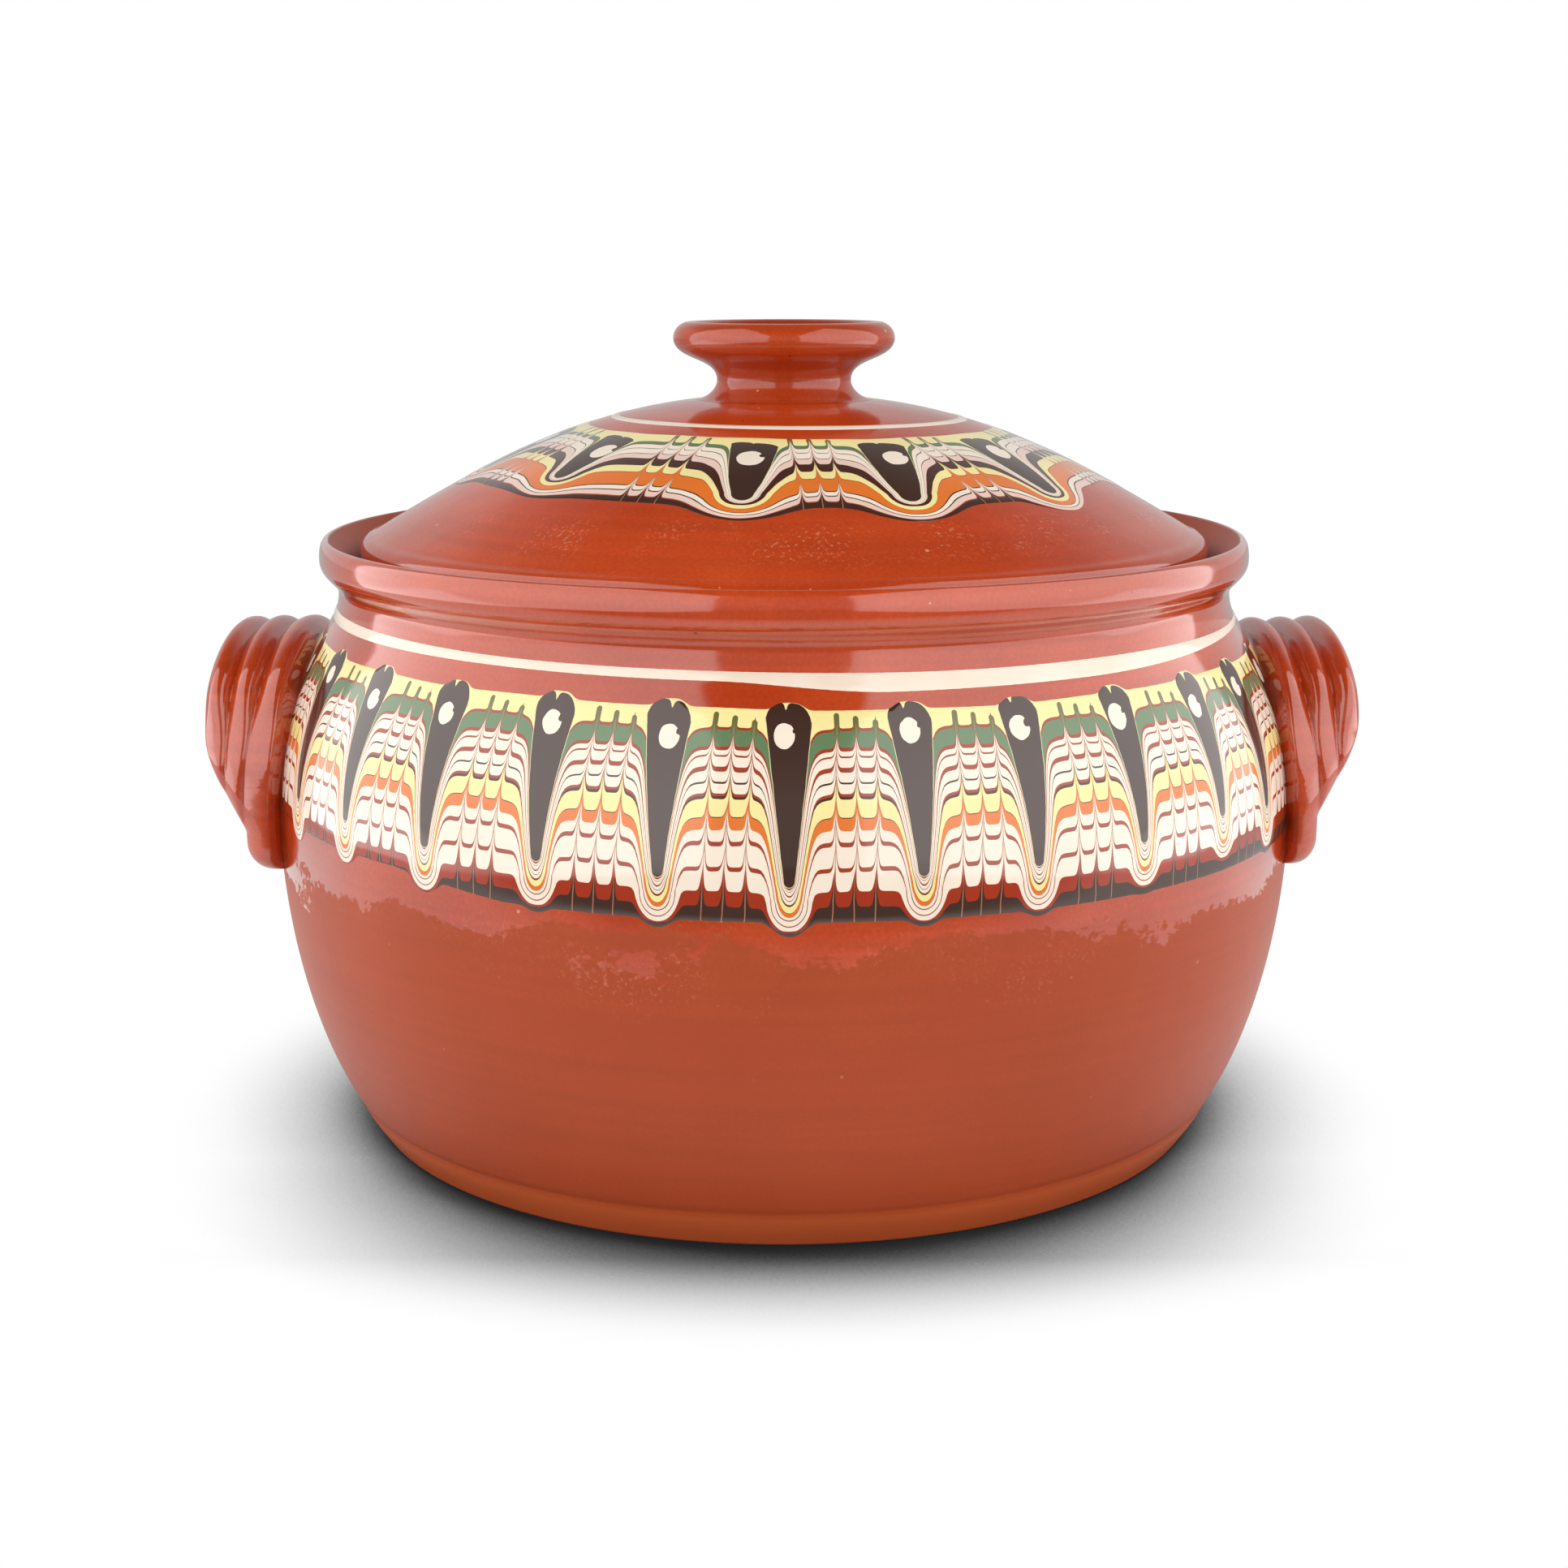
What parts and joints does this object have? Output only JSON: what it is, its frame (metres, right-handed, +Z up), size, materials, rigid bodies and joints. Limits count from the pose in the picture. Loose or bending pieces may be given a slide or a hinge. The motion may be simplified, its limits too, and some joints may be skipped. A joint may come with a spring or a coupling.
{
  "type": "lidded cooking pot",
  "caption": "Round-bellied terracotta cooking pot with a lift-off domed lid, a waisted knob, ribbed strap handles and bands of feathered slip on pot and lid.",
  "frame": {"origin": "middle of the flat base, on the surface the pot stands on", "axes": "+Z up along the axis the pot was thrown about, +X towards the right-hand handle, -Y the side seen in the picture"},
  "size_m": [0.3136, 0.288, 0.225],
  "materials": {
    "terracotta": "red earthenware, clear glaze above the belly and satin below it",
    "glazed_terracotta": "red earthenware under a glossy clear glaze",
    "cream_slip": "cream slip under a glossy clear glaze",
    "feathered_slip": "slips of several colours combed into drops, under a glossy clear glaze"
  },
  "bodies": {
    "pot": {"pot_body": "terracotta", "pot_slip_ring": "cream_slip", "pot_slip_band_front": "feathered_slip", "pot_slip_band_back": "feathered_slip", "handle_right": "glazed_terracotta", "handle_left": "glazed_terracotta"},
    "lid": {"lid_dome": "glazed_terracotta", "lid_slip_ring": "cream_slip", "lid_slip_band": "feathered_slip", "lid_knob": "glazed_terracotta"}
  },
  "joints": [
    {"name": "lid_lift", "type": "slide", "parent": "pot", "child": "lid", "axis": [0, 0, 1], "range_m": [0, 0.15]}
  ]
}
